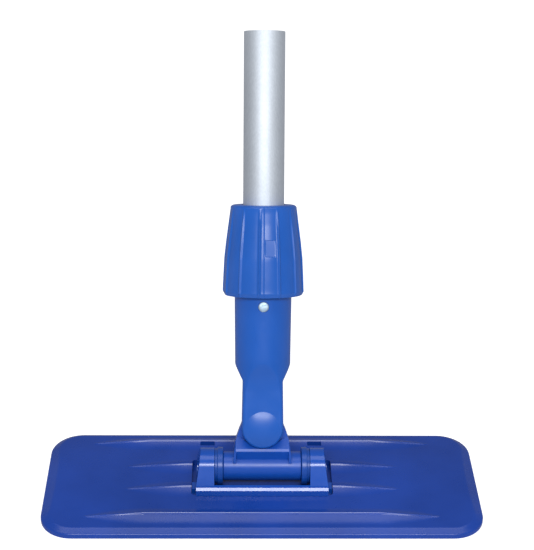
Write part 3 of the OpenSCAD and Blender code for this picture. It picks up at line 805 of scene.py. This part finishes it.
def plastic(name, colour, rough=0.34, specular=0.3, grain=0.12, drift=0.10):
    """Moulded plastic: cloudy colour, a fine grain, faint sink marks and patchy gloss."""
    m, t, p = material(name, colour, rough, specular=specular)
    c = coordinates(t)
    dark = tuple(x * (1 - drift) for x in colour)
    light = tuple(min(1, x * (1 + drift) + 0.002) for x in colour)
    cloud = noise(t, c, 22, 3, 0.55)
    t.links.new(ramp(t, cloud, [(0.32, dark), (0.68, light)]), p.inputs["Base Color"])
    t.links.new(spread(t, noise(t, c, 90, 4, 0.6), rough * 0.86, rough * 1.16), p.inputs["Roughness"])
    bump(t, p, (noise(t, c, 2600, 2, 0.5), grain, 0.00004), (noise(t, c, 130, 2, 0.4), 0.10, 0.0002))
    return m


def hooks_material(name):
    m, t, p = material(name, (0.012, 0.012, 0.014), 0.42, specular=0.4)
    c = coordinates(t)
    shades = [(0.35, (0.008, 0.008, 0.009)), (0.7, (0.028, 0.028, 0.031))]
    t.links.new(ramp(t, noise(t, c, 700, 2), shades), p.inputs["Base Color"])
    t.links.new(spread(t, noise(t, c, 300, 2), 0.34, 0.52), p.inputs["Roughness"])
    bump(t, p, (noise(t, c, 1800, 2), 0.25, 0.00006))
    return m


def anodised(name):
    """Drawn tube with a satin anodised skin: fine lines along the pole and a soft cloud in the gloss."""
    m, t, p = material(name, (0.70, 0.75, 0.81), 0.70, metallic=1.0)
    c = coordinates(t, (LEAN, 0, 0), (1, 1, 0.012))
    d = coordinates(t, (LEAN, 0, 0), (1, 1, 0.25))
    line = noise(t, c, 1500, 3, 0.6)
    t.links.new(ramp(t, line, [(0.3, (0.66, 0.71, 0.77)), (0.7, (0.74, 0.79, 0.85))]), p.inputs["Base Color"])
    t.links.new(spread(t, noise(t, d, 60, 3), 0.67, 0.73), p.inputs["Roughness"])
    bump(t, p, (line, 0.10, 0.00005), (noise(t, d, 900, 2), 0.05, 0.00003))
    return m


def metal(name, colour, rough, scale=(1, 1, 1)):
    """Turned or plated metal: fine tool lines and small stains in the gloss."""
    m, t, p = material(name, colour, rough, metallic=1.0)
    c = coordinates(t, (LEAN, 0, 0), scale)
    light = tuple(min(1, x * 1.06) for x in colour)
    dark = tuple(x * 0.86 for x in colour)
    t.links.new(ramp(t, noise(t, c, 500, 3), [(0.3, dark), (0.7, light)]), p.inputs["Base Color"])
    t.links.new(spread(t, noise(t, c, 900, 3), rough * 0.75, rough * 1.3), p.inputs["Roughness"])
    bump(t, p, (noise(t, c, 2400, 2), 0.12, 0.00004))
    return m


plate_blue = plastic("plate_plastic", (0.0045, 0.041, 0.285), 0.29, 0.40, 0.14, 0.12)
hinge_blue = plastic("hinge_plastic", (0.0040, 0.066, 0.390), 0.21, 0.46, 0.10, 0.08)
yoke_blue = plastic("yoke_plastic", (0.0045, 0.066, 0.390), 0.34, 0.42, 0.10, 0.08)
bush_blue = plastic("bush_plastic", (0.0040, 0.055, 0.310), 0.30, 0.40, 0.08, 0.06)
socket_blue = plastic("socket_plastic", (0.0055, 0.082, 0.400), 0.32, 0.46, 0.10, 0.08)
collar_blue = plastic("collar_plastic", (0.0055, 0.082, 0.390), 0.32, 0.50, 0.10, 0.08)
collet_white = plastic("collet_plastic", (0.74, 0.75, 0.73), 0.42, 0.5, 0.15, 0.04)
plug_black = plastic("plug_plastic", (0.018, 0.018, 0.020), 0.45, 0.4, 0.2, 0.2)
tape_black = hooks_material("hook_tape")
pole_metal = anodised("pole_aluminium")
nickel = metal("button_nickel", (0.62, 0.78, 0.93), 0.60)
pin_metal = metal("pin_steel", (0.60, 0.61, 0.63), 0.28, (1, 1, 0.1))
screw_metal = metal("screw_steel", (0.56, 0.57, 0.60), 0.34)
spring_metal = metal("spring_steel", (0.45, 0.46, 0.49), 0.30)


def paint(o, m):
    o.data.materials.clear()
    o.data.materials.append(m)
    return o


# ---------------------------------------------------------------- pieces onto bodies
def place(o, body, m, slot, *nodes):
    paint(o, m)
    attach(o, body)
    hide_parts(*nodes)


place(make_plate(), "base", plate_blue, "plate_plastic", "base_plate")
for side, *strip in (("front", LONG_L, LONG_W, (0, -LONG_Y, 0)), ("rear", LONG_L, LONG_W, (0, LONG_Y, 0)),
                     ("left", SHORT_L, SHORT_W, (-SHORT_X, 0, 0)), ("right", SHORT_L, SHORT_W, (SHORT_X, 0, 0))):
    place(make_hooks(side + "_hooks", *strip), "base", tape_black, "hook_tape", side + "_hook_strip")
place(make_hinge_base(), "base", hinge_blue, "hinge_plastic", "hinge_base")
for side, turn in (("left", -1), ("right", 1)):
    place(make_cap(side + "_cap", turn), "base", hinge_blue, "hinge_plastic", side + "_pin_cap")
    place(make_bush(side + "_bush", turn), "yoke", bush_blue, "bush_plastic", side + "_hinge_bush")
place(make_yoke(), "yoke", yoke_blue, "hinge_plastic", "yoke")
place(make_socket(), "socket", socket_blue, "socket_plastic", "pole_socket")
place(make_pivot_cap(), "socket", socket_blue, "socket_plastic", "pivot_cap")
place(make_pole(), "socket", pole_metal, "pole_aluminium", "pole_tube")
place(make_button(), "button", nickel, "button_nickel", "snap_button")
spring = make_spring()
place(spring, "socket", spring_metal, "spring_steel", "button_spring")
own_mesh(spring)
place(make_collar(), "collar", collar_blue, "socket_plastic", "locking_collar")
for name, m in (("hinge_base_screws", screw_metal), ("hinge_pin", pin_metal), ("pivot_pin", pin_metal),
                ("clamp_collet", collet_white), ("pole_end_plug", plug_black), ("thrust_washer", collet_white)):
    paint(frame["nodes"][name], m)

# ---------------------------------------------------------------- camera, floor and light
PITCH, YAW, ROLL = math.radians(29.20), math.radians(-1.552), math.radians(-1.000)
DISTANCE, SLIDE_X, SLIDE_UP = 0.85393, 0.000906, 0.116064
back = Vector((math.sin(YAW) * math.cos(PITCH), -math.cos(YAW) * math.cos(PITCH), math.sin(PITCH)))
right = Vector((math.cos(YAW), math.sin(YAW), 0))
upward = back.cross(right)
where = back * DISTANCE + right * SLIDE_X + upward * SLIDE_UP
rolled_right = right * math.cos(ROLL) - upward * math.sin(ROLL)
rolled_up = right * math.sin(ROLL) + upward * math.cos(ROLL)
camera = bpy.data.objects.new("camera", bpy.data.cameras.new("camera"))
camera.data.sensor_width, camera.data.lens = 36, 102.02
camera.data.clip_start, camera.data.clip_end = 0.05, 50
camera.matrix_world = Matrix.Translation(where) @ Matrix((rolled_right, rolled_up, back)).transposed().to_4x4()
bpy.context.scene.collection.objects.link(camera)
bpy.context.scene.camera = camera
bpy.context.scene.view_settings.view_transform = "Standard"


def area(name, towards, distance, size, radiance, aim=(0, 0, 0.05)):
    """A soft box in the direction towards = (azimuth, elevation) in degrees, azimuth 0 at the front."""
    az, el = (math.radians(x) for x in towards)
    way = Vector((math.sin(az) * math.cos(el), -math.cos(az) * math.cos(el), math.sin(el)))
    light = bpy.data.lights.new(name, "AREA")
    light.shape, light.size, light.size_y = "RECTANGLE", *size
    light.energy = radiance * math.pi * size[0] * size[1]
    o = bpy.data.objects.new(name, light)
    turned = way.to_track_quat("Z", "Y").to_matrix().to_4x4()
    o.matrix_world = Matrix.Translation(Vector(aim) + way * distance) @ turned
    bpy.context.scene.collection.objects.link(o)


area("key", (1, 42), 2.2, (1.3, 0.36), 24)
area("overhead", (0, 89), 2.0, (2.4, 1.0), 2.1)
world = bpy.data.worlds.new("studio")
world.use_nodes = True
world.node_tree.nodes["Background"].inputs["Color"].default_value = (0.30, 0.30, 0.31, 1)
bpy.context.scene.world = world

floor_m, floor_t, floor_p = material("floor_white", (0.92, 0.92, 0.92), 0.8, specular=0.0)
floor_p.inputs["Emission Color"].default_value = (1, 1, 1, 1)
floor_p.inputs["Emission Strength"].default_value = 0.42
WIDE, NEAR, DEEP, UNDER = 6000, -4000, 8000, -0.02
floor = mesh("floor", [(-WIDE, NEAR, UNDER), (WIDE, NEAR, UNDER), (WIDE, DEEP, UNDER), (-WIDE, DEEP, UNDER)],
             [(0, 1, 2, 3)])
paint(floor, floor_m)
floor.visible_glossy = False
